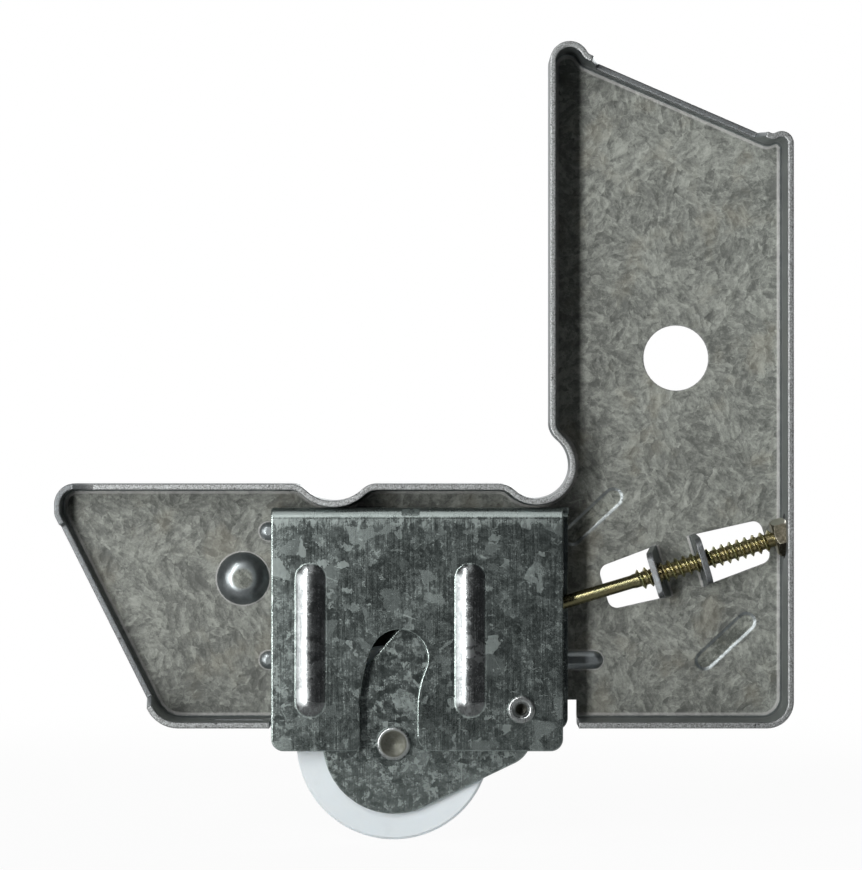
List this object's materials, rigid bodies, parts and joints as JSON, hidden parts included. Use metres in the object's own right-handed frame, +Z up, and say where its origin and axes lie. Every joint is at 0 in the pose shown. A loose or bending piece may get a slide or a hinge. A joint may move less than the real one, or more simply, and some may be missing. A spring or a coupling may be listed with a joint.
{
  "type": "screen door corner roller",
  "caption": "L-shaped corner of folded galvanised sheet for a sliding screen door, with a wheel on a swing arm that a screw raises and lowers.",
  "frame": {"origin": "centre of the big hole, on the back face of the tray's web", "axes": "+X away from the rail leg's far end, +Y to the closed back of the tray, +Z up the stile leg"},
  "size_m": [0.1215, 0.013, 0.1304],
  "materials": {
    "galvanised_tray": "galvanised, weathered matt",
    "galvanised_housing": "galvanised, spangled",
    "rivet_steel": "bright zinc",
    "nylon": "satin moulded",
    "yellow_zinc": "yellow zinc"
  },
  "bodies": {
    "corner": {"corner_bracket": "galvanised_tray", "roller_housing": "galvanised_housing", "pivot_rivet": "rivet_steel", "pivot_spacer": "rivet_steel"},
    "arm": {"swing_arm": "galvanised_housing", "axle_rivet": "rivet_steel"},
    "wheel": {"wheel": "nylon"},
    "screw": {"adjusting_screw": "yellow_zinc"}
  },
  "joints": [
    {"name": "arm_swing", "type": "hinge", "parent": "corner", "child": "arm", "pos_m": [-0.0259, -0.00605, -0.0574], "axis": [0, 1, 0], "range_deg": [-8, 40]},
    {"name": "wheel_spin", "type": "hinge", "parent": "arm", "child": "wheel", "pos_m": [-0.04672, -0.00605, -0.06314], "axis": [0, 1, 0], "continuous": true},
    {"name": "screw_travel", "type": "slide", "parent": "corner", "child": "screw", "axis": [0.9578, 0, 0.2874], "range_m": [-0.00214, 0.01057]}
  ],
  "couplings": [
    {"joint": "screw_travel", "follows": "arm_swing", "m_per_rad": 0.015053}
  ]
}
